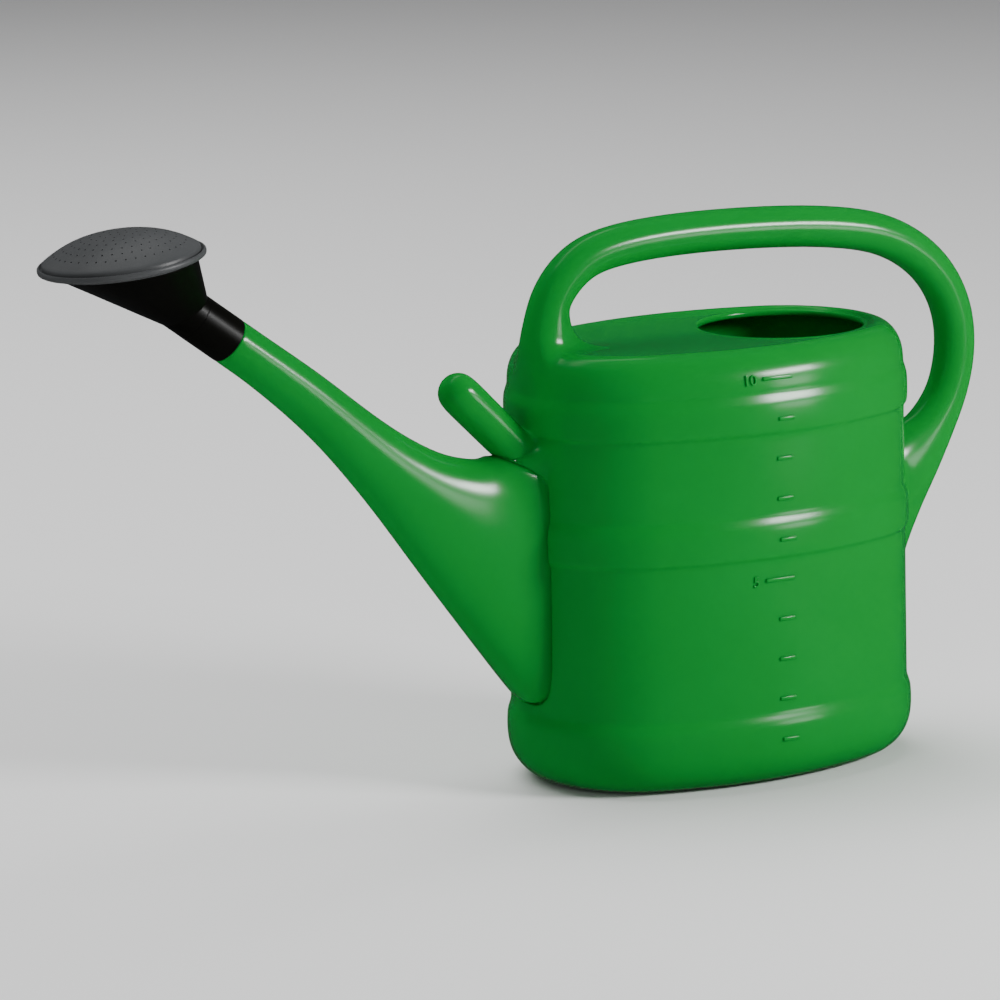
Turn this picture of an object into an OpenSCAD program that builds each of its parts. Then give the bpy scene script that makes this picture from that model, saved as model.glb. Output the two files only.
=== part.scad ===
// Ten-litre oval watering can with a push-on rose.
// The origin is the centre of the base, on the ground. The spout points to -X,
// the back of the handle to +X, and Y = 0 is the plane of symmetry.

/* [Tank] */
// Length of the oval wall at mid height
tank_l = 269; // [250:1:280]
// Width of the oval wall at mid height
tank_w = 180; // [172:1:190]
// Radius of the oval's two ends
end_r = 80; // [76:1:84]
// Height of the seam between wall and shoulder
seam_z = 255; // [254:1:258]
// Height of the mouth's rim
mouth_z = 275; // [274:1:278]
// Height of the crest round the top
crest_z = 279; // [278:1:283]
// Thickness of the moulded wall
wall = 2.2; // [1.8:0.1:3]
// Radius of the edge round the base
foot_r = 28; // [20:1:32]
// How far the raised bands stand out of the wall
band_e = 2.4; // [1.5:0.1:3.5]

/* [Filler mouth] */
// Distance of the mouth behind the centre
mouth_x = 56.3; // [50:0.1:60]
// Radius of the opening
mouth_r = 52.5; // [45:0.5:56]

/* [Spout] */
// Outer diameter of the spout's end and of the rose's neck
tip_d = 29.6; // [26:0.1:34]
// Slope of the spout's end above the ground, in degrees
tip_slope = 36.5; // [30:0.5:45]
// Length of the spigot inside the rose's neck
spigot_l = 24; // [18:1:26]

/* [Peg] */
// Diameter of the peg that a loose rose is parked on
peg_d = 26.8; // [24:0.1:27]
// Slope of the peg above the ground, in degrees
peg_slope = 45; // [40:1:48]

/* [Handle] */
// Diameter of the grip
grip_d = 26.6; // [24:0.1:30]

/* [Rose] */
// Length of the neck
neck_l = 28.5; // [27:0.5:32]
// Diameter over the rim
rose_d = 102; // [90:1:110]
// Tilt of the face towards the front, in degrees
face_tilt = 6.6; // [4:0.1:10]
// Height of the domed face above its rim
dome_h = 16; // [8:1:17]
// Diameter of the spray holes
hole_d = 1.2; // [0.8:0.1:2]
// Radial clearance between spigot and neck
neck_fit = 0.05; // [0.02:0.01:0.1]

/* [Hidden] */

$fn = 48;
green = [0.05, 0.55, 0.17];
grey = [0.22, 0.23, 0.24];

// The oval is four tangent arcs: two ends and two long sides.
half_l = tank_l / 2;
half_w = tank_w / 2;
end_x = half_l - end_r;
side_r = (end_x ^ 2 + half_w ^ 2 - end_r ^ 2) / (2 * (half_w - end_r));
side_y = side_r - half_w;
end_a = atan2(side_y, end_x);
side_a = 90 - end_a;

mid_z = 160;
draft = 0.005;          // outward growth of the wall for each mm downwards
step_h = 5;             // height of the soft step at a band's edge
bottom_band = 2.6;      // the lowest band stands out a little more
bands = [[146, 175, band_e], [225, 252, band_e]];
low_band_top = 49;

function lean(z) = draft * (mid_z - z);
function ease(t) = (1 - cos(180 * t)) / 2;

// Outline of the wall from the foot to the seam, as [offset from oval, height].
function step_up(z, from_e, to_e) =
    [for (i = [0:4]) [from_e + (to_e - from_e) * ease(i / 4) + lean(z + step_h * i / 4),
                      z + step_h * i / 4]];
function foot_arc(inset) =
    [for (a = [-90:10:0]) [bottom_band + lean(0) - foot_r + (foot_r - inset) * cos(a),
                           foot_r + (foot_r - inset) * sin(a)]];
function wall_line(inset) =
    let (skin = concat(
        step_up(low_band_top - step_h, bottom_band, 0),
        [for (b = bands) each concat(step_up(b[0], 0, b[2]),
                                     step_up(b[1] - step_h, b[2], 0))],
        [[lean(seam_z) - 0.4, seam_z]]))
    [for (p = skin) [p.x - inset, p.y]];

// Points round the oval at an offset and a height, in four arcs.
end_n = 14;
side_n = 10;
function arc(mid, r, from, to, n, z) =
    [for (i = [0:n - 1]) let (a = from + (to - from) * i / n)
        [mid.x + r * cos(a), mid.y + r * sin(a), z]];
function oval(e, z) = concat(
    arc([end_x, 0], end_r + e, -end_a, end_a, end_n, z),
    arc([0, -side_y], side_r + e, 90 - side_a, 90 + side_a, side_n, z),
    arc([-end_x, 0], end_r + e, 180 - end_a, 180 + end_a, end_n, z),
    arc([0, side_y], side_r + e, 270 - side_a, 270 + side_a, side_n, z));

function backwards(list) = [for (i = [len(list) - 1:-1:0]) list[i]];

// Joins rings of points into a closed solid: a cup if it has ends, else a loop.
module skin(rings, ends = false) {
    rows = len(rings);
    n = len(rings[0]);
    sides = [for (i = [0:rows - (ends ? 2 : 1)]) for (j = [0:n - 1])
        let (k = (j + 1) % n, m = (i + 1) % rows)
        each [[i * n + j, m * n + j, i * n + k], [i * n + k, m * n + j, m * n + k]]];
    caps = [[for (j = [0:n - 1]) j], [for (j = [n - 1:-1:0]) (rows - 1) * n + j]];
    polyhedron(points = [for (r = rings) each r],
               faces = ends ? concat(caps, sides) : sides);
}

spout_hole_w = 30;
spout_hole = [82, 190];
module tank_body() {
    outline = concat(foot_arc(0), wall_line(0), backwards(wall_line(wall)),
                     backwards(foot_arc(wall)));
    color(green) difference() {
        skin([for (p = outline) oval(p.x, p.y)], true);
        for (z = spout_hole) translate([-half_l, 0, z]) rotate([0, 90, 0])
            cylinder(d = spout_hole_w, h = 60, center = true);
        translate([-half_l - 30, -spout_hole_w / 2, spout_hole[0]])
            cube([60, spout_hole_w, spout_hole[1] - spout_hole[0]]);
    }
}

// The shoulder rises from the seam to a crest, and the top dips to the mouth.
crest_e = -18;
shoulder_z = 262;

// Points round the mouth that pair with the oval's points.
function mouth_ring(r, z) =
    [for (p = oval(0, z)) let (a = atan2(p.y, p.x - mouth_x * 0.55))
        [mouth_x + r * cos(a), r * sin(a), z]];
function between(a, b, t, z) =
    [for (i = [0:len(a) - 1]) let (q = a[i] * (1 - t) + b[i] * t) [q.x, q.y, z]];
function shoulder(inset) =
    let (foot = lean(seam_z) - 0.4)
    concat([oval(foot - inset, seam_z)],
        [for (a = [0:15:90]) oval(crest_e - inset + (foot + 0.4 - crest_e) * cos(a),
                                  shoulder_z + (crest_z - inset - shoulder_z) * sin(a))],
        [for (t = [0.35, 0.7, 1]) between(oval(crest_e - inset, 0), mouth_ring(mouth_r + 2, 0), t,
                                          crest_z - inset - (crest_z - mouth_z) * ease(t))]);
module tank_shoulder() {
    color(green) skin(concat(shoulder(0), backwards(shoulder(wall))));
}

lip_h = 2;
module filler_mouth() {
    color(green) translate([mouth_x, 0, 0]) rotate_extrude($fn = 96)
        polygon(concat(
            [[mouth_r + 2, mouth_z - wall - 1], [mouth_r + 2, mouth_z]],
            [for (a = [30:30:150]) [mouth_r + 1 + cos(a), mouth_z + lip_h - 1 + sin(a)]],
            [[mouth_r, mouth_z - wall - 1]]));
}

// Litre marks on the near side, with a longer bar at 5 and at 10.
mark_z = 32.2;
mark_pitch = 25.5;
mark_end = 6.5;
mark_h = 1.2;
mark_proud = 0.7;
short_mark = 12;
long_mark = 21.5;
digit_h = 8;
digit_w = 4.5;
digit_bar = 0.9;

function near(z, list) = [for (b = list) if (z > b[0] && z < b[1]) b[2]];
function skin_e(z) = lean(z) + (z < low_band_top - step_h ? bottom_band
    : len(near(z, bands)) > 0 ? near(z, bands)[0] : 0);
function side_skin(x, z) = sqrt((side_r + skin_e(z)) ^ 2 - x ^ 2) - side_y;

// One raised bar on the -Y side, sunk into the wall by as much as it stands out.
module bar(x, z, w, h) {
    y = side_skin(x + w / 2, z);
    translate([x, -y - mark_proud, z - h / 2]) cube([w, 2 * mark_proud, h]);
}

module digit_one(x, z) {
    bar(x + digit_w / 2 - digit_bar / 2, z, digit_bar, digit_h);
}

module digit_nought(x, z) {
    for (dx = [0, digit_w - digit_bar]) bar(x + dx, z, digit_bar, digit_h);
    for (s = [-1, 1]) bar(x + digit_bar, z + s * (digit_h - digit_bar) / 2,
                          digit_w - 2 * digit_bar, digit_bar);
}

module digit_five(x, z) {
    mid_h = (digit_h - digit_bar) / 2;
    for (s = [-1:1]) bar(x, z + s * mid_h, digit_w, digit_bar);
    bar(x, z + mid_h / 2, digit_bar, mid_h - digit_bar);
    bar(x + digit_w - digit_bar, z - mid_h / 2, digit_bar, mid_h - digit_bar);
}

module volume_marks() {
    color(green) {
        for (i = [0:9]) {
            length = (i + 1) % 5 == 0 ? long_mark : short_mark;
            bar(mark_end - length, mark_z + i * mark_pitch, length, mark_h);
        }
        digit_five(mark_end - long_mark - 4 - digit_w, mark_z + 4 * mark_pitch);
        digit_one(mark_end - long_mark - 6 - 2 * digit_w, mark_z + 9 * mark_pitch);
        digit_nought(mark_end - long_mark - 4 - digit_w, mark_z + 9 * mark_pitch);
    }
}

// A hollow limb: rings are [upper point, lower point, half width, squareness],
// each point in the XZ plane. The skin runs out along the rings and back inside.
ring_n = 28;
function ring(r, inset) =
    let (mid = (r[0] + r[1]) / 2, half = (r[0] - r[1]) / 2,
         grow = (norm(half) - inset) / norm(half), p = 2 / r[3])
    [for (i = [0:ring_n - 1]) let (a = 360 * i / ring_n, c = cos(a), s = sin(a),
        q = mid + half * grow * sign(c) * abs(c) ^ p)
        [q.x, (r[2] - inset) * sign(s) * abs(s) ^ p, q.y]];
function spline(a, b, c, d, t) =
    b + (c - a) * t / 2 + (2 * a - 5 * b + 4 * c - d) * t ^ 2 / 2
    + (3 * b - a - 3 * c + d) * t ^ 3 / 2;
function smooth_rings(rings, steps) =
    let (n = len(rings) - 1)
    [for (i = [0:n - 1]) for (k = [0:(i == n - 1 ? steps : steps - 1)])
        [for (j = [0:3]) spline(rings[max(i - 1, 0)][j], rings[i][j], rings[i + 1][j],
                                rings[min(i + 2, n)][j], k / steps)]];

// Where a limb lands on the tank, 1 mm deep in the wall: front is -1, back is 1.
function landed(p, side) =
    [side * (end_x + sqrt((end_r + lean(p.z) - 1) ^ 2 - p.y ^ 2)), p.y, p.z];
module limb(rings, steps, land_first = false, land_last = false) {
    all = smooth_rings(rings, steps);
    last = len(all) - 1;
    function skin_rings(inset) =
        [for (i = [0:last]) [for (p = ring(all[i], inset))
            i == 0 && land_first ? landed(p, -1) : i == last && land_last ? landed(p, 1) : p]];
    skin(concat(skin_rings(0), backwards(skin_rings(wall))));
}

// The spout's end: its axis points up and forwards.
tip = [-341, 308];
tip_dir = [-cos(tip_slope), sin(tip_slope)];
tip_up = [sin(tip_slope), cos(tip_slope)];
tip_r = tip_d / 2;
root_x = -half_l - 1;

module spout() {
    color(green) limb([
        [[root_x, 214], [root_x, 50], 22, 2.6],
        [[-150, 213], [-154, 70], 21.5, 2.5],
        [[-167, 214.5], [-197, 129], 20.5, 2.3],
        [[-196, 220.5], [-240, 187], 18.3, 2.1],
        [[-224, 237], [-257, 209.5], 16.8, 2],
        [[-252, 258.5], [-277.5, 234], 16, 2],
        [[-279, 281], [-302, 257.5], 15.3, 2],
        [tip - 20 * tip_dir + tip_r * tip_up, tip - 20 * tip_dir - tip_r * tip_up, tip_r, 2],
        [tip + tip_r * tip_up, tip - tip_r * tip_up, tip_r, 2]], 3, land_first = true);
}

// Puts children on the spout's end with +Z along its axis.
module at_tip() {
    translate([tip.x, 0, tip.y]) rotate([0, tip_slope - 90, 0]) children();
}

module tube(outer, inner, h) {
    rotate_extrude($fn = 64) translate([inner, 0]) square([outer - inner, h]);
}

neck_wall = 1.3;
spigot_r = tip_r - neck_wall - neck_fit;
module spout_spigot() {
    color(green) at_tip() {
        tube(spigot_r, spigot_r - wall, spigot_l);
        translate([0, 0, -3]) tube(tip_r - wall, spigot_r - wall, 3);
    }
}

// The peg rises from the front of the tank, over the root of the spout. Its
// outer stretch is a true cylinder, and its root is a little thicker.
peg_tip = [-190.8, 267.4];
peg_r = peg_d / 2;
peg_l = 100;            // from the tip, well past the wall, where it is trimmed
pin_l = 36;
root_grow = 0.8;
module rose_peg() {
    pin_end = -peg_r - pin_l;
    color(green) difference() {
        translate([peg_tip.x, 0, peg_tip.y]) rotate([0, peg_slope - 90, 0]) rotate_extrude()
            polygon(concat(
                [[peg_r - wall, -peg_l], [peg_r + root_grow, -peg_l],
                 [peg_r + root_grow, pin_end - root_grow], [peg_r, pin_end]],
                [for (a = [0:10:90]) [peg_r * cos(a), peg_r * (sin(a) - 1)]],
                [for (a = [90:-10:0]) [(peg_r - wall) * cos(a),
                                       peg_r * (sin(a) - 1) - wall * sin(a)]]));
        translate([-end_x, 0, 150]) cylinder(r = end_r + lean(150) - 1.5, h = 130, $fn = 96);
    }
}

grip_r = grip_d / 2;
// One ring of the grip: centre, and the heading of the grip there in degrees.
function grip_ring(x, z, heading) =
    let (out = [-sin(heading), cos(heading)] * grip_r)
    [[x, z] + out, [x, z] - out, grip_r, 2];

module handle_grip() {
    color(green) limb([
        [[-137, 256], [-93, 277], 17, 2.2],
        [[-136, 285], [-102, 287], 14, 2],
        grip_ring(-117, 302, 78),
        grip_ring(-106, 321.5, 50),
        grip_ring(-80, 337, 14),
        grip_ring(-25, 342.4, 1),
        grip_ring(57, 340, -4),
        grip_ring(112, 334, -11),
        grip_ring(150, 321, -30),
        grip_ring(180, 294, -54),
        grip_ring(191.5, 256, -88),
        grip_ring(183.5, 217, -112)], 4);
}

module handle_foot() {
    start = grip_ring(183.5, 217, -112);
    color(green) limb([
        start,
        [[187, 193], [157, 207], 13.5, 2],
        [[161.5, 148], [142, 201], 14.5, 2.1],
        [[half_l, 94], [half_l, 198], 16, 2.2]], 4, land_last = true);
}

// The rose: a round neck, a skewed funnel and a domed, perforated face.
neck_end = tip + neck_l * tip_dir;
face_mid = [-411.5, 365];
hoop_n = 48;
rim_w = 6;              // the rim overhangs the funnel by this much
skirt_h = 5;
module rose_neck() {
    color(grey) at_tip() difference() {
        cylinder(r = tip_r, h = neck_l, $fn = 64);
        translate([0, 0, -1]) cylinder(r = spigot_r + neck_fit, h = neck_l + 2, $fn = 64);
    }
}

// A circle in space: centre in the XZ plane, tilt of its axis towards the front.
function hoop(mid, r, tilt, n) =
    [for (i = [0:n - 1]) let (a = 360 * i / n)
        [mid.x + r * cos(a) * cos(tilt), r * sin(a), mid.y + r * cos(a) * sin(tilt)]];
joint_gap = 0.1;        // the head turns just clear of the neck
slant = 14;             // the funnel's mouth on the neck is cut this much on the slant
function neck_ring(start, slope, inset) =
    [for (i = [0:hoop_n - 1]) let (a = 360 * i / hoop_n,
        along = start + slope * (1 - cos(a)) / 2, up = (tip_r - inset) * cos(a),
        p = neck_end + along * tip_dir + up * [sin(tip_slope), cos(tip_slope)])
        [p.x, (tip_r - inset) * sin(a), p.y]];
function funnel_rings(inset) =
    let (low = neck_ring(2 * joint_gap, slant, inset),
         high = hoop(face_mid - skirt_h * [-sin(face_tilt), cos(face_tilt)],
                     rose_d / 2 - rim_w - inset, face_tilt, hoop_n))
    concat([neck_ring(joint_gap, 0, inset)],
           [for (t = [0:0.25:1]) [for (i = [0:hoop_n - 1]) low[i] * (1 - t) + high[i] * t]]);

module rose_funnel() {
    color(grey) skin(concat(funnel_rings(0), backwards(funnel_rings(wall))));
}

// Rings of spray holes, a hole about every six millimetres.
hole_pitch = 6.2;
face_r = rose_d / 2 - 5;
dome_r = (face_r ^ 2 + dome_h ^ 2) / (2 * dome_h);
module rose_face() {
    rim = rose_d / 2;
    color(grey) translate([face_mid.x, 0, face_mid.y]) rotate([0, -face_tilt, 0]) difference() {
        rotate_extrude($fn = 96) polygon(concat(
            [[rim - rim_w - wall, -skirt_h], [rim - rim_w, -skirt_h],
             [rim - rim_w, -3.5], [rim - 1, -3.5],
             [rim, -2], [rim, 0], [rim - 1.2, 1.3], [rim - 3, 1.3], [rim - 4, 0]],
            [for (i = [0:8]) let (a = asin(face_r / dome_r) * (1 - i / 8))
                [dome_r * sin(a), dome_h - dome_r * (1 - cos(a))]],
            [for (i = [0:8]) let (a = asin((face_r - 2) / dome_r) * i / 8)
                [dome_r * sin(a), dome_h - 1.8 - dome_r * (1 - cos(a))]],
            [[rim - rim_w - wall, -2]]));
        for (k = [1:6]) for (i = [0:k * 6 - 1])
            rotate(360 * i / (k * 6) + k * 11) translate([k * hole_pitch, 0, -2])
                cylinder(d = hole_d, h = dome_h + 4, $fn = 16);
    }
}

tank_body();
tank_shoulder();
filler_mouth();
volume_marks();
spout();
spout_spigot();
rose_peg();
handle_grip();
handle_foot();
rose_neck();
rose_funnel();
rose_face();
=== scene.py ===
import math

import bmesh
import bpy
from mathutils import Matrix, Vector


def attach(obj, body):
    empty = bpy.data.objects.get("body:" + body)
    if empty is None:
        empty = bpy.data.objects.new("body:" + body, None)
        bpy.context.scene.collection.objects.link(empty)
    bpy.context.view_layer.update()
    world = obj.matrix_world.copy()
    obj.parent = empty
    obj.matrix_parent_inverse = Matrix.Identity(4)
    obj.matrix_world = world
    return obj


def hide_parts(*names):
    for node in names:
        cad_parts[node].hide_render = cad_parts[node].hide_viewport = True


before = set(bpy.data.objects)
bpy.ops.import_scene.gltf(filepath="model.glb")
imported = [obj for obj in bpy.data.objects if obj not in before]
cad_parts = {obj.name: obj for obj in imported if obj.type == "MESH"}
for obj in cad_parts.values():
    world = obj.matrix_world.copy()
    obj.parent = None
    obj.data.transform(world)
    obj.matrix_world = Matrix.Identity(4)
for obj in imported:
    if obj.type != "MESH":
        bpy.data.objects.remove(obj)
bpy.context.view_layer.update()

mm = 0.001
driftRings = 6  # rings over which the points of a loft drift to even spacing


# Tools for working by hand in edit mode. Lengths in the dictionaries are in millimetres.

def clearSelection():
    if bpy.context.object and bpy.context.object.mode == "EDIT":
        bpy.ops.object.mode_set(mode="OBJECT")
    bpy.ops.object.select_all(action="DESELECT")


def openForEdit(piece):
    clearSelection()
    piece.select_set(True)
    bpy.context.view_layer.objects.active = piece
    bpy.ops.object.mode_set(mode="EDIT")
    bpy.ops.mesh.select_mode(type="VERT")
    bpy.ops.mesh.select_all(action="DESELECT")


def editShape():
    shape = bmesh.from_edit_mesh(bpy.context.object.data)
    shape.verts.index_update()
    return shape


def pickPoints(test):  # test gets a place in millimetres and the point itself
    bpy.ops.mesh.select_mode(type="VERT")
    bpy.ops.mesh.select_all(action="DESELECT")
    for point in editShape().verts:
        point.select = bool(test(point.co / mm, point))
    editShape().select_flush_mode()
    bmesh.update_edit_mesh(bpy.context.object.data)


def pickEdges(test, keep=False):
    bpy.ops.mesh.select_mode(type="EDGE")
    if not keep:
        bpy.ops.mesh.select_all(action="DESELECT")
    for edge in editShape().edges:
        if test(edge):
            edge.select_set(True)
    bmesh.update_edit_mesh(bpy.context.object.data)


def pickFaces(test):
    bpy.ops.mesh.select_mode(type="FACE")
    bpy.ops.mesh.select_all(action="DESELECT")
    for face in editShape().faces:
        if test(face.calc_center_median() / mm):
            face.select_set(True)
    bmesh.update_edit_mesh(bpy.context.object.data)


def drawLine(name, points):  # a new piece that is one chain of edges
    clearSelection()
    bpy.ops.mesh.primitive_plane_add(size=mm, location=(0, 0, 0))
    piece = bpy.context.object
    piece.name = name
    openForEdit(piece)
    bpy.ops.mesh.select_all(action="SELECT")
    bpy.ops.mesh.merge(type="CENTER")
    here = Vector(points[0]) * mm
    bpy.ops.transform.translate(value=here)
    for point in points[1:]:
        there = Vector(point) * mm
        bpy.ops.mesh.extrude_region_move(TRANSFORM_OT_translate={"value": there - here})
        here = there
    return piece


def emptyPiece(name):  # a new piece with nothing in it yet, open for edit
    piece = drawLine(name, ((0, 0, 0),))
    bpy.ops.mesh.select_all(action="SELECT")
    bpy.ops.mesh.delete(type="VERT")
    return piece


def ringPoints(ring, turns):  # ring: first point, second point (x, z), half width, squareness
    (firstX, firstZ), (lastX, lastZ), halfWidth, square = ring
    middle = Vector((firstX + lastX, 0, firstZ + lastZ)) / 2
    reach = Vector((firstX - lastX, 0, firstZ - lastZ)) / 2
    spread = 3 / (2 + math.cos(2 * math.pi / len(turns)))  # subdivision pulls a ring inwards
    points = []
    for turn in turns:
        c, s = math.cos(turn), math.sin(turn)
        size = spread * (abs(c) ** square + abs(s) ** square) ** (-1 / square)
        points.append(middle + reach * size * c + Vector((0, halfWidth * size * s, 0)))
    return points


def addLoop(points):  # a closed outline, drawn point by point
    bpy.ops.mesh.select_mode(type="VERT")
    bpy.ops.mesh.select_all(action="DESELECT")
    start = len(editShape().verts)
    bpy.ops.mesh.primitive_plane_add(size=mm, location=points[0] * mm)
    bpy.ops.mesh.merge(type="CENTER")
    for here, there in zip(points, points[1:]):
        bpy.ops.mesh.extrude_region_move(
            TRANSFORM_OT_translate={"value": (there - here) * mm})
    last = start + len(points) - 1
    shape = editShape()
    shape.verts.ensure_lookup_table()
    shape.verts[start].select = shape.verts[last].select = True
    shape.select_flush_mode()
    bpy.ops.mesh.edge_face_add()
    return inRun(start, len(points))


def bridgeRings(first, second, cuts=0):  # each is a test on an edge
    pickEdges(first)
    pickEdges(second, keep=True)
    bpy.ops.mesh.bridge_edge_loops(number_cuts=cuts, interpolation="LINEAR")


def inRun(start, count):  # an edge whose two ends are in one run of points
    return lambda edge: all(start <= end.index < start + count for end in edge.verts)


def loftRings(turns, rings, rootShape=None):  # returns tests for the first and the last ring
    even = [2 * math.pi * step / len(turns) for step in range(len(turns))]
    loops = []
    for step, ring in enumerate(rings):
        share = min(1, step / driftRings)
        blended = [turn + (level - turn) * share for turn, level in zip(turns, even)]
        points = ringPoints(ring, blended)
        if rootShape:
            points = [rootShape(point, step) for point in points]
        loops.append(addLoop(points))
    for low, high in zip(loops, loops[1:]):
        bridgeRings(low, high)
    return loops[0], loops[-1]


def useModifier(piece, kind, **settings):
    clearSelection()
    piece.select_set(True)
    bpy.context.view_layer.objects.active = piece
    bpy.ops.object.modifier_add(type=kind)
    modifier = piece.modifiers[-1]
    for name, value in settings.items():
        setattr(modifier, name, value)
    bpy.ops.object.modifier_apply(modifier=modifier.name)


def closeNormals(piece):
    openForEdit(piece)
    bpy.ops.mesh.select_all(action="SELECT")
    bpy.ops.mesh.remove_doubles(threshold=0.01 * mm)
    bpy.ops.mesh.normals_make_consistent(inside=False)
    bpy.ops.object.mode_set(mode="OBJECT")


def shadeRound(piece, angle=None):
    clearSelection()
    piece.select_set(True)
    bpy.context.view_layer.objects.active = piece
    if angle is None:
        bpy.ops.object.shade_smooth()
    else:
        bpy.ops.object.shade_smooth_by_angle(angle=math.radians(angle))


# Finishes, all from node settings

def newPaint(name):
    paint = bpy.data.materials.new(name)
    paint.use_nodes = True
    nodes = paint.node_tree.nodes
    return paint, nodes, paint.node_tree.links, nodes["Principled BSDF"]


def addNode(nodes, kind, **values):
    made = nodes.new(kind)
    for name, value in values.items():
        made.inputs[name.replace("_", " ")].default_value = value
    return made


def addMoulded(name, look):  # moulded plastic: slight colour drift, fine grain, soft waviness
    paint, nodes, links, shader = newPaint(name)
    place = nodes.new("ShaderNodeTexCoord")
    cloud = addNode(nodes, "ShaderNodeTexNoise", Scale=look["cloudScale"], Detail=3)
    grain = addNode(nodes, "ShaderNodeTexNoise", Scale=look["grainScale"], Detail=4)
    wave = addNode(nodes, "ShaderNodeTexNoise", Scale=look["waveScale"], Detail=1)
    for noise in (cloud, grain, wave):
        links.new(place.outputs["Object"], noise.inputs["Vector"])
    blend = nodes.new("ShaderNodeMix")
    blend.data_type = "RGBA"
    blend.inputs[6].default_value = (*look["color"], 1)
    blend.inputs[7].default_value = (*look["paler"], 1)
    links.new(cloud.outputs["Fac"], blend.inputs[0])
    links.new(blend.outputs[2], shader.inputs["Base Color"])
    rough = nodes.new("ShaderNodeMapRange")
    rough.inputs["To Min"].default_value = look["rough"][0]
    rough.inputs["To Max"].default_value = look["rough"][1]
    links.new(cloud.outputs["Fac"], rough.inputs["Value"])
    links.new(rough.outputs["Result"], shader.inputs["Roughness"])
    fine = addNode(nodes, "ShaderNodeBump", Strength=look["grain"], Distance=0.0002)
    broad = addNode(nodes, "ShaderNodeBump", Strength=look["wave"], Distance=0.001)
    links.new(grain.outputs["Fac"], fine.inputs["Height"])
    links.new(wave.outputs["Fac"], broad.inputs["Height"])
    links.new(broad.outputs["Normal"], fine.inputs["Normal"])
    links.new(fine.outputs["Normal"], shader.inputs["Normal"])
    shader.inputs["IOR"].default_value = look["ior"]
    shader.inputs["Specular IOR Level"].default_value = look["shine"]
    shader.inputs["Subsurface Weight"].default_value = look["depth"]
    shader.inputs["Subsurface Radius"].default_value = (0.002, 0.006, 0.003)
    shader.inputs["Subsurface Scale"].default_value = 1
    return paint


greenLook = {"color": (0.0, 0.2, 0.021), "paler": (0.0, 0.23, 0.028), "rough": (0.16, 0.21),
             "cloudScale": 14, "grainScale": 900, "grain": 0.05, "waveScale": 22, "wave": 0.15,
             "ior": 1.5, "shine": 0.25, "depth": 0.2}
faceLook = {"color": (0.05, 0.053, 0.055), "paler": (0.072, 0.075, 0.077), "rough": (0.36, 0.46),
            "cloudScale": 30, "grainScale": 1400, "grain": 0.35, "waveScale": 60, "wave": 0.15,
            "ior": 1.5, "shine": 0.26, "depth": 0}
blackLook = {"color": (0.002, 0.002, 0.0015), "paler": (0.004, 0.004, 0.003), "rough": (0.28, 0.36),
             "cloudScale": 25, "grainScale": 1200, "grain": 0.15, "waveScale": 40, "wave": 0.2,
             "ior": 1.5, "shine": 0.08, "depth": 0}

greenPlastic = addMoulded("greenPlastic", greenLook)
greenScale = addMoulded("greenScale", {**greenLook, "depth": 0})
greyPlastic = addMoulded("greyPlastic", faceLook)
blackPlastic = addMoulded("blackPlastic", blackLook)


def dress(piece, paint, body, slot, *nodes):
    piece.data.materials.clear()
    piece.data.materials.append(paint)
    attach(piece, body)
    if nodes:
        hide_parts(*nodes)
    print(piece.name, "finished:", len(piece.data.polygons), "faces")


# Camera

view = {"azimuth": -30.474, "elevation": 11.254, "roll": -1.14, "lens": 221.36,
        "aim": (-153.2, 0, 187.6), "distance": 3825.6}


def makeCamera():
    turned = (Matrix.Rotation(math.radians(view["azimuth"]), 4, "Z")
              @ Matrix.Rotation(math.radians(90 - view["elevation"]), 4, "X")
              @ Matrix.Rotation(math.radians(view["roll"]), 4, "Z"))
    back = turned.to_3x3() @ Vector((0, 0, 1))
    place = (Vector(view["aim"]) + back * view["distance"]) * mm
    bpy.ops.object.camera_add(location=place, rotation=turned.to_euler())
    camera = bpy.context.object
    camera.data.lens = view["lens"]
    camera.data.clip_end = 20
    bpy.context.scene.camera = camera


clearSelection()
makeCamera()
print("camera stands")


# The can: one moulding. The oval is four tangent arcs.

can = {
    "halfLength": 134.5, "halfWidth": 90, "endRadius": 80,
    "rearSteps": 12, "frontSteps": 16, "sideSteps": 5,
    "swell": 0.35,          # makes up for what subdivision takes off the oval
    "draft": 0.005, "midHeight": 160,
    "footRadius": 28, "footBand": 2.6, "footTop": 48, "footStep": 22.5,
    "baseRows": ((20, 2), (12, 0), (4, 0)),  # in from where the foot's curve starts, and height
    "baseTop": 10,
    "band": 2.5, "bands": ((147, 174), (226, 251.5)),
    "bandLow": ((0, 0), (0.75, 1.4), (1, 4.5)),
    "bandHigh": ((1, 8.5), (0.84, 5), (0.2, 0.4), (0, -1.6)),
    "wallRows": (54, 75, 101, 142, 179, 200, 213, 221),
    "shoulder": ((-0.4, 255), (-0.6, 259), (-1.8, 265.5), (-5, 272), (-9.5, 276.6),
                 (-14.5, 278.8), (-19, 279)),
    "mouth": 56.3,
    "mouthRings": ((57, 276.9), (55.6, 277.4), (54.3, 277.5), (53.1, 276.8), (52.7, 275.2),
                   (53.6, 273)),
    "wall": 2.2,
}


def lean(height):
    return can["draft"] * (can["midHeight"] - height)


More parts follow.
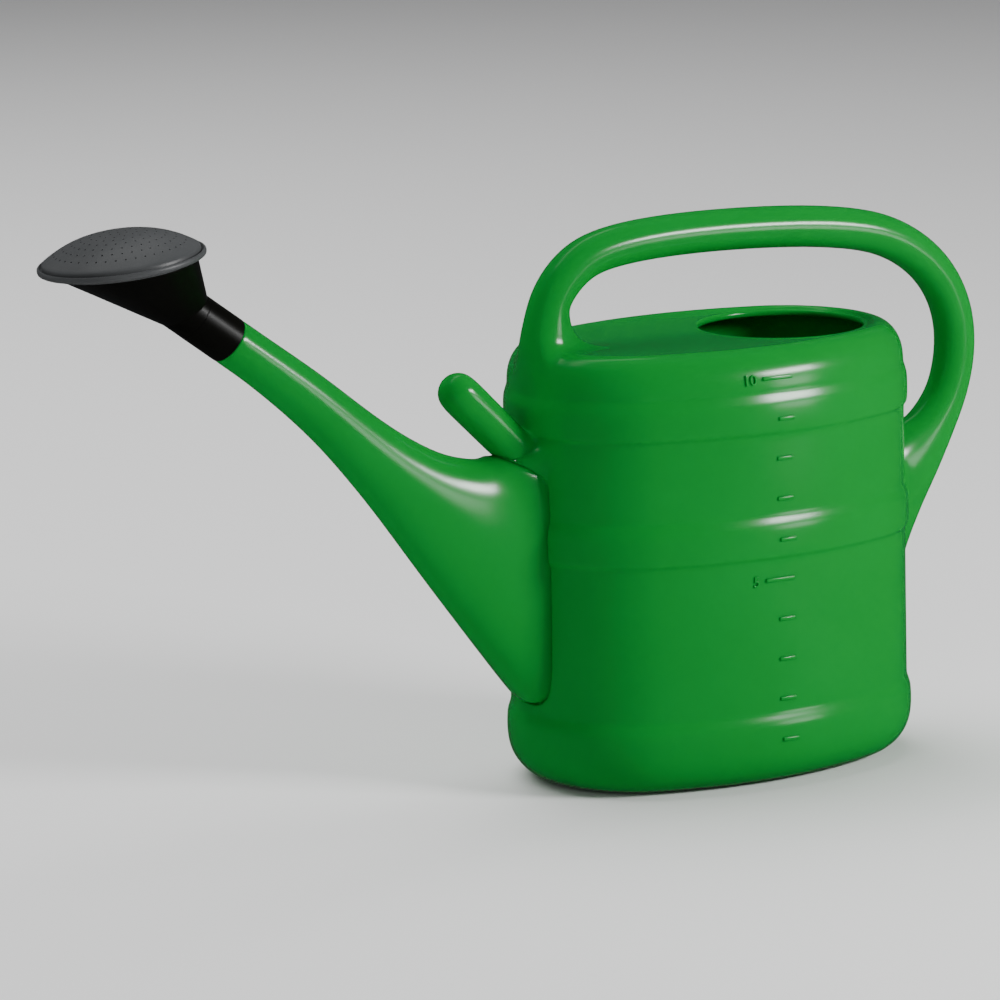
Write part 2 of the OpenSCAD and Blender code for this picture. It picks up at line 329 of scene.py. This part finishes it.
def wallOutline():  # (offset from the oval, height) up the wall
    radius = can["footRadius"]
    start = can["footBand"] + lean(0) - radius
    foot = [(start - inset, height) for inset, height in can["baseRows"]]
    for step in range(5):
        angle = math.radians(can["footStep"] * step)
        foot.append((start + radius * math.sin(angle), radius - radius * math.cos(angle)))
    top = can["footTop"]
    rows = [(lean(top) + share * can["footBand"], top - drop) for share, drop in can["bandHigh"]]
    rows += [(lean(height), height) for height in can["wallRows"]]
    for low, high in can["bands"]:
        rows += [(lean(low) + share * can["band"], low + rise) for share, rise in can["bandLow"]]
        rows += [(lean(high) + share * can["band"], high - drop) for share, drop in can["bandHigh"]]
    rows += list(can["shoulder"])
    return foot + sorted(rows, key=lambda row: row[1])


def wallOffset(height):
    rows = [row for row in wallOutline() if row[1] > 3]
    below = max((row for row in rows if row[1] <= height), key=lambda row: row[1])
    above = min((row for row in rows if row[1] > height), key=lambda row: row[1])
    return below[0] + (above[0] - below[0]) * (height - below[1]) / (above[1] - below[1])


def sideArc():  # radius of a long arc, and how far its centre lies past the middle plane
    end, width, radius = can["halfLength"] - can["endRadius"], can["halfWidth"], can["endRadius"]
    arcRadius = (end ** 2 + width ** 2 - radius ** 2) / (2 * (width - radius))
    return arcRadius, arcRadius - width


def spinOval(name):
    end = can["halfLength"] - can["endRadius"]
    side = sideArc()[1]
    endTurn = math.atan2(side, end)
    start = Vector((math.cos(-endTurn), math.sin(-endTurn)))
    points = []
    for offset, height in wallOutline():
        reach = can["endRadius"] + offset + can["swell"]
        points.append((end + reach * start.x, reach * start.y, height))
    piece = drawLine(name, points)
    bpy.ops.mesh.select_all(action="SELECT")
    arcs = (((end, 0), 2 * endTurn, can["rearSteps"]),
            ((0, -side), math.pi - 2 * endTurn, can["sideSteps"]),
            ((-end, 0), 2 * endTurn, can["frontSteps"]),
            ((0, side), math.pi - 2 * endTurn, can["sideSteps"]))
    for (x, y), turn, steps in arcs:
        bpy.ops.mesh.spin(steps=steps, angle=turn, center=(x * mm, y * mm, 0), axis=(0, 0, -1))
    bpy.ops.mesh.select_all(action="SELECT")
    bpy.ops.mesh.remove_doubles(threshold=0.05 * mm)
    openForEdit(piece)  # leaving and coming back puts the points in order again
    return piece


def closeBase():
    pickEdges(lambda edge: edge.is_boundary
              and all(corner.co.z < can["baseTop"] * mm for corner in edge.verts))
    bpy.ops.mesh.edge_face_add()


def addMouth():
    count = can["rearSteps"] + can["frontSteps"] + 2 * can["sideSteps"]
    crest = can["shoulder"][-1][1]
    middle = Vector((can["mouth"], 0, 0)) * mm
    bpy.ops.mesh.select_mode(type="VERT")
    bpy.ops.mesh.select_all(action="DESELECT")
    start = len(editShape().verts)
    (radius, height) = can["mouthRings"][0]
    bpy.ops.mesh.primitive_circle_add(vertices=count, radius=radius * mm,
                                      location=middle + Vector((0, 0, height * mm)))
    outer = inRun(start, count)
    pickEdges(outer)
    for nextRadius, nextHeight in can["mouthRings"][1:]:
        bpy.ops.mesh.extrude_edges_move(
            TRANSFORM_OT_translate={"value": (0, 0, (nextHeight - height) * mm)})
        bpy.ops.transform.resize(value=(nextRadius / radius, nextRadius / radius, 1),
                                 center_override=middle)
        radius, height = nextRadius, nextHeight
    bridgeRings(lambda edge: edge.is_boundary
                and all(abs(end.co.z / mm - crest) < 0.1 for end in edge.verts),
                outer, cuts=3)


# Where the limbs join the can, and their rings from the root outwards. Push and lift move the
# top of the spout's first rings out of the peg's way, ring by ring. Groove moves its first
# rings off the wall. Dent presses in the wall between spout and peg.
limbs = {
    "spout": {
        "root": {"end": -1, "turn": 17.5, "low": 54, "high": 213, "measure": (0, 1)},
        "rings": (
            ((-135, 211), (-135, 55.5), 23.2, 6), ((-135, 210), (-135, 56.5), 22, 5),
            ((-136, 211), (-136, 56.5), 22, 4.8), ((-140, 212), (-140, 58), 22, 4.2),
            ((-148, 213), (-148, 66), 21.6, 3.2), ((-163, 214), (-178, 104), 20.6, 2.4),
            ((-179, 216.8), (-213, 150), 19.5, 2.1), ((-196, 221.5), (-239, 186), 18.3, 2),
            ((-224, 237.5), (-258, 210), 16.8, 2), ((-252, 258.8), (-279, 235), 15.9, 2),
            ((-279, 281.2), (-302.5, 258), 15.3, 2)),
        "push": (29, 28, 27, 24, 17, 6), "lift": (7, 6, 5, 4, 2.5, 1),
        "groove": (0, 4.4, -1.6), "pushWidth": 20, "pushFrom": 183, "pushOver": 22,
        "slope": 36.5, "tip": (-341, 308), "tipRadius": 14.8,
        "spigotRadius": 13.4, "spigotLength": 24,
    },
    "peg": {
        "root": {"end": -1, "turn": 9, "low": 213, "high": 235, "measure": (0, 1)},
        "slope": 45, "tip": (-190.8, 267.4), "radius": 13.4,
        "slide": 5, "places": (62, 54, 44, 28, 14), "crotch": ((-1, 3, -29, 4.5), (3, 13, -17, 2)),
        "before": -100, "dent": {"depth": 2, "above": 5, "below": 236, "reach": 13},
    },
    "handle": {
        "front": {"end": -1, "turn": 17.5, "low": 253, "high": 290, "measure": (-1, -1)},
        "rear": {"end": 1, "turn": 12, "low": 100, "high": 200, "measure": (0, -1)},
        "rings": (((-136.5, 283), (-99, 284.5), 14.6, 2), ((-131.5, 299), (-103, 301), 13.5, 2)),
        "grip": ((-114, 310, 72), (-106, 321.5, 52), (-94, 331.5, 32), (-79, 337.6, 14),
                 (-50, 341.6, 4), (-5, 342.6, 0), (45, 340.8, -3), (84, 337.6, -7),
                 (114, 333, -12), (134, 327.6, -20), (152, 319, -32),
                 (168, 307, -44), (180.5, 292, -57), (188.6, 274, -72), (191.3, 255, -86),
                 (189.4, 236, -100), (183.5, 217, -111)),
        "foot": (((187.5, 194), (157, 207), 13.6, 2), ((176, 171), (147.5, 203), 14.2, 2),
                 ((161.5, 146), (141.5, 201), 14.8, 2)),
        "radius": 13.3,
    },
}


def onGrip(x, z, heading, radius):  # a round ring, square to the grip
    angle = math.radians(heading)
    out = Vector((-math.sin(angle), math.cos(angle))) * radius
    return (x + out.x, z + out.y), (x - out.x, z - out.y), radius, 2


def cutHole(root):  # opens the wall; returns a test for the rim and the turns of its points
    end = can["halfLength"] - can["endRadius"]
    side = root["end"]
    wallOnly = 30  # keeps the faces of the top out of the hole
    almostRound = 6.28  # a turn above this is the first one again

    def inside(c):
        turn = math.atan2(abs(c.y), c.x * side - end)
        return (root["low"] < c.z < root["high"] and math.degrees(turn) < root["turn"]
                and c.x * side > end + wallOnly)

    pickFaces(inside)
    chosen = [face for face in editShape().faces if face.select]
    rim = {edge for face in chosen for edge in face.edges
           if sum(other.select for other in edge.link_faces) == 1}
    middles = [(edge.verts[0].co + edge.verts[1].co) / 2 for edge in rim]
    corners = {corner for edge in rim for corner in edge.verts}
    alongX, alongZ = root["measure"]
    heights = {corner: corner.co.x * alongX + corner.co.z * alongZ for corner in corners}
    low, high = min(heights.values()), max(heights.values())
    width = max(corner.co.y for corner in corners)
    turns = []
    for corner, height in heights.items():
        up = (2 * height - low - high) / (high - low)
        turns.append(math.atan2(corner.co.y / width, up) % (2 * math.pi))
    turns = [0 if turn > almostRound else turn for turn in turns]
    bpy.ops.mesh.delete(type="FACE")
    print("hole with", len(middles), "edges")
    return (lambda edge: any(((edge.verts[0].co + edge.verts[1].co) / 2 - middle).length
                             < 0.02 * mm for middle in middles)), sorted(turns)


def axisRing(tip, slope, along, radius):  # a round ring on a straight limb, along from its tip
    angle = math.radians(slope)
    forward = Vector((-math.cos(angle), math.sin(angle)))
    up = Vector((math.sin(angle), math.cos(angle))) * radius
    middle = Vector(tip) + forward * along
    return tuple(middle + up), tuple(middle - up), radius, 2


def shapeSpoutRoot(point, step):  # the first ring lies on the wall; the top makes way for the peg
    x, y, z = point
    spout = limbs["spout"]
    groove = spout["groove"]
    if step < len(groove):
        reach = can["endRadius"] + wallOffset(z) + can["swell"]
        x = can["endRadius"] - can["halfLength"] - math.sqrt(reach ** 2 - y ** 2) + groove[step]
    if step < len(spout["push"]):
        up = min(1, max(0, (z - spout["pushFrom"]) / spout["pushOver"]))
        share = max(0, 1 - (y / spout["pushWidth"]) ** 2) * up
        x -= spout["push"][step] * share
        z += spout["lift"][step] * share
    return Vector((x, y, z))


def shapePegRoot(point, step):  # the flanks of the first ring slide down to the wall
    if step > 0:
        return point
    flank = abs(point.y) / limbs["peg"]["radius"]
    slide = limbs["peg"]["slide"] * flank ** 2
    return point + Vector((slide, 0, -slide))


def addSpout(rim, turns):
    spout = limbs["spout"]
    tip, slope, radius = spout["tip"], spout["slope"], spout["tipRadius"]
    rings = list(spout["rings"])
    rings += [axisRing(tip, slope, along, radius) for along in (-26, -8, -0.6)]
    inner = spout["spigotRadius"]
    rings += [axisRing(tip, slope, along, size) for along, size in
              ((0, radius - 0.5), (0.1, inner + 0.2), (1.5, inner),
               (spout["spigotLength"] - 0.8, inner), (spout["spigotLength"], inner - 0.5))]
    first, last = loftRings(turns, rings, shapeSpoutRoot)
    bridgeRings(rim, first)


def addPeg(rim, turns):
    peg = limbs["peg"]
    tip, slope, radius = peg["tip"], peg["slope"], peg["radius"]
    rings = [axisRing(tip, slope, -along, radius) for along in peg["places"]]
    for turn in (25, 50, 75):
        angle = math.radians(turn)
        rings.append(axisRing(tip, slope, radius * (math.sin(angle) - 1), radius * math.cos(angle)))
    first, last = loftRings(turns, rings, shapePegRoot)
    pickEdges(last)
    bpy.ops.mesh.edge_face_add()
    bridgeRings(rim, first)


def pullCrotch():  # draws the web between spout and peg out from the wall
    peg = limbs["peg"]
    height = can["wallRows"][-2]
    for low, high, shiftX, shiftZ in peg["crotch"]:
        pickPoints(lambda c, point: abs(c.z - height) < 0.5 and low < abs(c.y) < high
                   and c.x < peg["before"])
        bpy.ops.transform.translate(value=(shiftX * mm, 0, shiftZ * mm))
    dent = peg["dent"]
    pickPoints(lambda c, point: height + dent["above"] < c.z < dent["below"]
               and abs(c.y) < dent["reach"] and c.x < peg["before"])
    bpy.ops.transform.translate(value=(dent["depth"] * mm, 0, 0))


def addHandle(frontRim, frontTurns, rearRim):
    handle = limbs["handle"]
    rings = list(handle["rings"])
    rings += [onGrip(x, z, heading, handle["radius"]) for x, z, heading in handle["grip"]]
    rings += list(handle["foot"])
    first, last = loftRings(frontTurns, rings)
    bridgeRings(frontRim, first)
    bridgeRings(last, rearRim)


def makeCan():
    piece = spinOval("can")
    closeBase()
    addMouth()
    pullCrotch()
    roots = (limbs["spout"]["root"], limbs["peg"]["root"],
             limbs["handle"]["front"], limbs["handle"]["rear"])
    spoutHole, pegHole, frontHole, rearHole = [cutHole(root) for root in roots]
    openForEdit(piece)
    addSpout(*spoutHole)
    addPeg(*pegHole)
    addHandle(*frontHole, rearHole[0])
    closeNormals(piece)
    useModifier(piece, "SOLIDIFY", thickness=can["wall"] * mm, offset=-1, use_even_offset=False)
    useModifier(piece, "SUBSURF", levels=2, render_levels=2)
    shadeRound(piece)
    dress(piece, greenPlastic, "can", "can_green", "tank_body", "tank_shoulder", "filler_mouth",
          "spout", "spout_spigot", "rose_peg", "handle_grip", "handle_foot")


makeCan()


# The litre scale: raised bars and numbers on the near side.

marks = {
    "first": 32.2, "pitch": 25.5, "end": 6.5, "height": 2.6, "proud": 0.8, "lift": -0.2,
    "short": 12, "long": 21.5, "rounding": 0.75, "barSpan": 2,
    "digitGap": 4, "digitSize": 9.5, "digitRounding": 0.12, "digitMiddle": 3, "digitDrop": 0.35,
    "digitSpan": 4,
}


def wallSide(x, height):  # distance of the side wall from the middle plane
    arcRadius, side = sideArc()
    radius = arcRadius + wallOffset(height) + marks["lift"]
    return math.sqrt(radius ** 2 - x ** 2) - side


def wallSlope(x, height, span):  # how far the side wall leans, measured over twice the span
    return math.atan2(wallSide(x, height - span) - wallSide(x, height + span), 2 * span)


def raiseBar(height, length):
    x = marks["end"] - length / 2
    proud = marks["proud"]
    place = Vector((x, -wallSide(x, height), height)) * mm
    bpy.ops.mesh.primitive_cube_add(size=mm, location=place)
    bpy.ops.transform.resize(value=(length, 2 * proud, marks["height"]), center_override=place)
    slope = wallSlope(x, height, marks["barSpan"])
    bpy.ops.transform.rotate(value=slope, orient_axis="X", center_override=place)
    bpy.ops.transform.rotate(value=-x / sideArc()[0], orient_axis="Z", center_override=place)
    bpy.ops.mesh.bevel(offset=marks["rounding"] * mm, segments=3, affect="EDGES")


def raiseDigits(words, height):
    x = marks["end"] - marks["long"] - marks["digitGap"]
    size = marks["digitSize"]
    drop = size * marks["digitDrop"]
    middle = x - marks["digitMiddle"]
    clearSelection()
    bpy.ops.object.text_add(location=(0, 0, 0))
    label = bpy.context.object
    label.data.body = words
    label.data.align_x = "RIGHT"
    label.data.size = size * mm
    label.data.extrude = marks["proud"] * mm
    label.data.bevel_depth = marks["digitRounding"] * mm
    bpy.ops.object.convert(target="MESH")
    openForEdit(label)
    bpy.ops.mesh.select_all(action="SELECT")
    bpy.ops.transform.rotate(value=-math.pi / 2, orient_axis="X", center_override=(0, 0, 0))
    place = Vector((x, -wallSide(middle, height), height - drop)) * mm
    bpy.ops.transform.translate(value=place)
    slope = wallSlope(x, height, marks["digitSpan"])
    bpy.ops.transform.rotate(value=slope, orient_axis="X",
                             center_override=place + Vector((0, 0, drop * mm)))
    bpy.ops.transform.rotate(value=-middle / sideArc()[0], orient_axis="Z",
                             center_override=place)
    bpy.ops.object.mode_set(mode="OBJECT")
    return label


def makeMarks():
    piece = emptyPiece("litreScale")
    for step in range(10):
        raiseBar(marks["first"] + step * marks["pitch"],
                 marks["long"] if step % 5 == 4 else marks["short"])
    bpy.ops.object.mode_set(mode="OBJECT")
    labels = [raiseDigits("5", marks["first"] + 4 * marks["pitch"]),
              raiseDigits("10", marks["first"] + 9 * marks["pitch"])]
    clearSelection()
    for label in labels:
        label.select_set(True)
    piece.select_set(True)
    bpy.context.view_layer.objects.active = piece
    bpy.ops.object.join()
    closeNormals(piece)
    shadeRound(piece, 40)
    dress(piece, greenScale, "can", "can_green", "volume_marks")


makeMarks()


# The rose: a push-on neck, a skewed funnel and a domed face with spray holes.

rose = {
    "count": 48, "neckRadius": 14.8, "neckBore": 13.5, "neckLength": 28.5, "gap": 0.06,
    "slant": 12.4, "slantStart": 1.6,
    "face": (-411.5, 365), "tilt": 6.6, "skirt": 5, "funnelRadius": 43.6, "funnelShift": 2, "wall": 2,
    "faceLine": ((40.6, -5), (44.6, -5), (45.2, -3.6), (49.6, -3.4), (50.7, -2.7), (51.1, -1.5),
                 (50.9, -0.1), (50.3, 0.6), (49.6, 0.5), (49.1, -0.5), (48.6, -1.1), (48.2, -0.9),
                 (48, 0.3), (47.9, 1.7), (47.4, 2.6)),
    "domeEdge": 47.4, "domeStart": 2.6, "domeTop": 15.9, "domeBend": 2.5, "domeSteps": 14,
    "domeCrowd": 1.3, "domeWall": 1.8, "domeInner": 43, "faceSteps": 96,
    "holePitch": 5.7, "holeRings": 7, "holeRadius": 0.62, "holeStep": 6, "holeTwist": 0.19,
    "drillSides": 12, "drillDepth": 6, "drillDrop": 1,
}


def evenTurns(count):
    return [2 * math.pi * step / count for step in range(count)]


def makeNeck():
    spout = limbs["spout"]
    piece = emptyPiece("roseNeck")
    outer, bore, length = rose["neckRadius"], rose["neckBore"], rose["neckLength"]
    profile = ((bore, 0.05), (outer - 0.5, 0.05), (outer, 0.5), (outer, 1.6), (outer, 9),
               (outer, 19), (outer, length - 0.1), (outer - 0.1, length), (bore, length))
    rings = [axisRing(spout["tip"], spout["slope"], along, radius) for radius, along in profile]
    first, last = loftRings(evenTurns(rose["count"]), rings)
    bridgeRings(first, last)
    closeNormals(piece)
    shadeRound(piece, 35)
    dress(piece, blackPlastic, "rose_sleeve", "rose_black", "rose_neck")


def makeFunnel():
    spout = limbs["spout"]
    piece = emptyPiece("roseFunnel")
    tilt = math.radians(rose["tilt"])
    along = rose["neckLength"] + rose["gap"]
    start = axisRing(spout["tip"], spout["slope"], along, rose["neckRadius"])
    along += rose["slantStart"]
    near = axisRing(spout["tip"], spout["slope"], along, rose["neckRadius"])
    far = axisRing(spout["tip"], spout["slope"], along + rose["slant"], rose["neckRadius"])
    low = (near[0], far[1], rose["neckRadius"])
    across = Vector((math.cos(tilt), math.sin(tilt)))
    middle = Vector(rose["face"]) - Vector((-across.y, across.x)) * rose["skirt"]
    middle += across * rose["funnelShift"]
    reach = across * rose["funnelRadius"]
    high = (tuple(middle + reach), tuple(middle - reach), rose["funnelRadius"])
    rings = [start]
    for share in (0.01, 0.2, 0.6, 0.92):
        upper = Vector(start[0]).lerp(Vector(low[0]), share)
        lower = Vector(start[1]).lerp(Vector(low[1]), share)
        rings.append((upper, lower, rose["neckRadius"], 2))
    for share in (0, 0.03, 0.08, 0.2, 0.4, 0.6, 0.8, 0.94, 1):
        upper = Vector(low[0]).lerp(Vector(high[0]), share)
        lower = Vector(low[1]).lerp(Vector(high[1]), share)
        rings.append((upper, lower, low[2] + (high[2] - low[2]) * share, 2))
    loftRings(evenTurns(rose["count"]), rings)
    closeNormals(piece)
    useModifier(piece, "SOLIDIFY", thickness=rose["wall"] * mm, offset=1)
    useModifier(piece, "SUBSURF", levels=1, render_levels=1)
    closeNormals(piece)
    shadeRound(piece, 50)
    dress(piece, blackPlastic, "rose_head", "rose_black", "rose_funnel")


def domeHeight(radius, drop=0):
    rise = rose["domeTop"] - rose["domeStart"]
    share = (radius / rose["domeEdge"]) ** rose["domeBend"]
    return rose["domeTop"] - drop - rise * share


def makeHoles(tilted):
    piece = emptyPiece("drill")
    for ring in range(rose["holeRings"] + 1):
        count = max(1, ring * rose["holeStep"])
        for step in range(count):
            angle = 2 * math.pi * step / count + ring * rose["holeTwist"]
            reach = ring * rose["holePitch"]
            place = (reach * math.cos(angle) * mm, reach * math.sin(angle) * mm,
                     (domeHeight(reach) - rose["drillDrop"]) * mm)
            bpy.ops.mesh.primitive_cylinder_add(vertices=rose["drillSides"],
                                                radius=rose["holeRadius"] * mm,
                                                depth=rose["drillDepth"] * mm, location=place)
    bpy.ops.mesh.select_all(action="SELECT")
    tilted()
    bpy.ops.object.mode_set(mode="OBJECT")
    return piece


def tiltFace():  # from flat on the ground to its place on the funnel
    bpy.ops.transform.rotate(value=math.radians(rose["tilt"]), orient_axis="Y",
                             center_override=(0, 0, 0))
    x, z = rose["face"]
    bpy.ops.transform.translate(value=(x * mm, 0, z * mm))


def makeFace():
    steps = rose["domeSteps"]
    line = list(rose["faceLine"])
    for step in range(1, steps + 1):
        radius = rose["domeEdge"] * (1 - (step / steps) ** rose["domeCrowd"])
        line.append((radius, domeHeight(radius)))
    for step in range(steps + 1):
        radius = rose["domeInner"] * step / steps
        line.append((radius, domeHeight(radius, rose["domeWall"])))
    piece = drawLine("roseFace", [(radius, 0, height) for radius, height in line])
    pickPoints(lambda c, point: any(abs(c.x - radius) < 0.5 and abs(c.z - height) < 0.5
                                    for radius, height in (line[0], line[-1])))
    bpy.ops.mesh.edge_face_add()
    pickEdges(lambda edge: all(end.co.x < 0.1 * mm for end in edge.verts))
    bpy.ops.mesh.delete(type="EDGE")
    bpy.ops.mesh.select_all(action="SELECT")
    bpy.ops.mesh.spin(steps=rose["faceSteps"], angle=2 * math.pi, center=(0, 0, 0),
                      axis=(0, 0, 1))
    bpy.ops.mesh.select_all(action="SELECT")
    bpy.ops.mesh.remove_doubles(threshold=0.02 * mm)
    tiltFace()
    closeNormals(piece)
    drill = makeHoles(tiltFace)
    useModifier(piece, "BOOLEAN", operation="DIFFERENCE", solver="EXACT", object=drill)
    clearSelection()
    drill.select_set(True)
    bpy.ops.object.delete()
    shadeRound(piece, 35)
    dress(piece, greyPlastic, "rose_head", "rose_grey", "rose_face")


makeNeck()
makeFunnel()
makeFace()


# Floor and lights

room = {"floorSize": 12, "floorShade": (0.88, 0.88, 0.88, 1), "floorRough": 0.85,
        "airShade": (0.93, 0.95, 1, 1), "airStrength": 0.05, "lampAim": (0, 0, 0.18)}


def makeStage():
    clearSelection()
    bpy.ops.mesh.primitive_plane_add(size=room["floorSize"], location=(0, 0, 0))
    floor = bpy.context.object
    floor.name = "floor"
    floor.visible_glossy = False
    paint = bpy.data.materials.new("paleFloor")
    paint.use_nodes = True
    shader = paint.node_tree.nodes["Principled BSDF"]
    shader.inputs["Base Color"].default_value = room["floorShade"]
    shader.inputs["Roughness"].default_value = room["floorRough"]
    floor.data.materials.append(paint)
    world = bpy.data.worlds.new("paleRoom")
    bpy.context.scene.world = world
    world.use_nodes = True
    air = world.node_tree.nodes["Background"]
    air.inputs["Color"].default_value = room["airShade"]
    air.inputs["Strength"].default_value = room["airStrength"]


# A lamp that isn't mirrored gives no highlight. One that isn't spread gives only a highlight.
lamps = {
    "key": {"place": (1.15, -1.6, 0.92), "size": (0.64, 0.32), "watts": 50,
            "mirrored": True, "spread": True},
    "fill": {"place": (-2.8, -2.2, 1.6), "size": (2.8, 2.8), "watts": 29,
             "mirrored": False, "spread": True},
    "top": {"place": (-0.5, 1.4, 3.2), "size": (4, 4), "watts": 165,
            "mirrored": False, "spread": True},
    "strip": {"place": (-0.3, 1.3, 3), "size": (3, 0.4), "watts": 7,
              "mirrored": True, "spread": True},
    "glint": {"place": (1.2, -1.7, 0.26), "size": (0.5, 0.46), "watts": 7,
              "mirrored": True, "spread": False},
}


def makeLamps():
    for name, lamp in lamps.items():
        toward = Vector(room["lampAim"]) - Vector(lamp["place"])
        bpy.ops.object.light_add(type="AREA", location=lamp["place"],
                                 rotation=toward.to_track_quat("-Z", "Y").to_euler())
        light = bpy.context.object.data
        light.name = name
        light.shape = "RECTANGLE"
        light.size, light.size_y = lamp["size"]
        light.energy = lamp["watts"]
        bpy.context.object.visible_glossy = lamp["mirrored"]
        bpy.context.object.visible_diffuse = lamp["spread"]


makeStage()
makeLamps()
print("floor and lamps stand")
